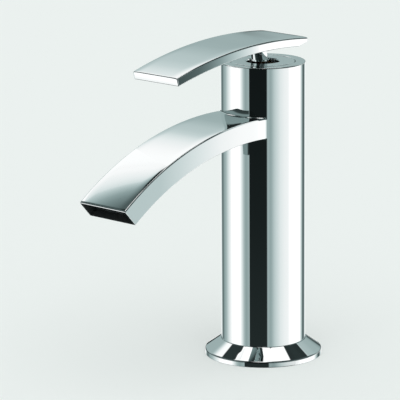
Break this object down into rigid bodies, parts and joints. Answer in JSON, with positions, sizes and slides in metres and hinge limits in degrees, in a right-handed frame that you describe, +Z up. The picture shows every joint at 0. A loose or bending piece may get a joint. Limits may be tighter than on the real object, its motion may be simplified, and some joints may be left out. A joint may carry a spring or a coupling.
{
  "type": "basin mixer",
  "caption": "Single-lever basin mixer: round upright column on a flared base, flat arched spout with a slot mouth, and a flat arched lever that lifts and swings above it.",
  "frame": {"origin": "centre of the base's underside, in the plane of the deck that the mixer stands on", "axes": "+Z up along the column, -Y the way the spout and the closed lever point, +X to the right of the spout seen from behind the mixer"},
  "size_m": [0.064, 0.156, 0.1771],
  "materials": {
    "chrome": "polished chrome plate on brass",
    "raw_brass": "machined brass, unplated",
    "copper_tube": "drawn copper tube",
    "steel": "turned stainless steel",
    "stainless_wire": "woven stainless wire screen",
    "black_rubber": "moulded black rubber",
    "dark_plastic": "moulded dark plastic",
    "white_plastic": "moulded white plastic",
    "grey_plastic": "moulded grey plastic",
    "blue_plastic": "moulded blue plastic",
    "red_plastic": "moulded red plastic",
    "ceramic": "lapped white alumina ceramic, opaque"
  },
  "bodies": {
    "body": {"column_shell": "chrome", "base_flange": "chrome", "deck_gasket": "black_rubber", "spout_shell": "chrome", "flow_straightener": "dark_plastic", "straightener_screen": "stainless_wire", "straightener_seal": "black_rubber", "cartridge_seat": "raw_brass", "seat_o_rings": "black_rubber", "inlet_block": "raw_brass", "inlet_block_o_ring": "black_rubber", "hot_riser_tube": "copper_tube", "cold_riser_tube": "copper_tube", "riser_o_rings": "black_rubber", "cartridge_base": "white_plastic", "port_seals": "black_rubber", "disc_seals": "black_rubber", "fixed_ceramic_disc": "ceramic", "cartridge_housing": "white_plastic", "cartridge_o_ring": "black_rubber", "thrust_washer": "dark_plastic", "retaining_nut": "raw_brass", "limit_ring": "red_plastic", "top_cap": "chrome", "cap_o_ring": "black_rubber"},
    "rotor": {"spindle_rotor": "grey_plastic", "pivot_pin": "steel"},
    "lever": {"spindle": "raw_brass", "lever_handle": "chrome", "lever_grub_screw": "steel"},
    "disc": {"disc_carrier": "blue_plastic", "moving_ceramic_disc": "ceramic"}
  },
  "joints": [
    {"name": "lever_swing", "type": "hinge", "parent": "body", "child": "rotor", "pos_m": [0, 0, 0.1518], "axis": [0, 0, 1], "range_deg": [-45, 45]},
    {"name": "lever_lift", "type": "hinge", "parent": "rotor", "child": "lever", "pos_m": [0, 0, 0.1518], "axis": [-1, 0, 0], "range_deg": [0, 25]},
    {"name": "disc_slide", "type": "slide", "parent": "rotor", "child": "disc", "axis": [0, -1, 0], "range_m": [0, 0.0063]}
  ],
  "couplings": [
    {"joint": "disc_slide", "follows": "lever_lift", "m_per_rad": 0.014385}
  ]
}
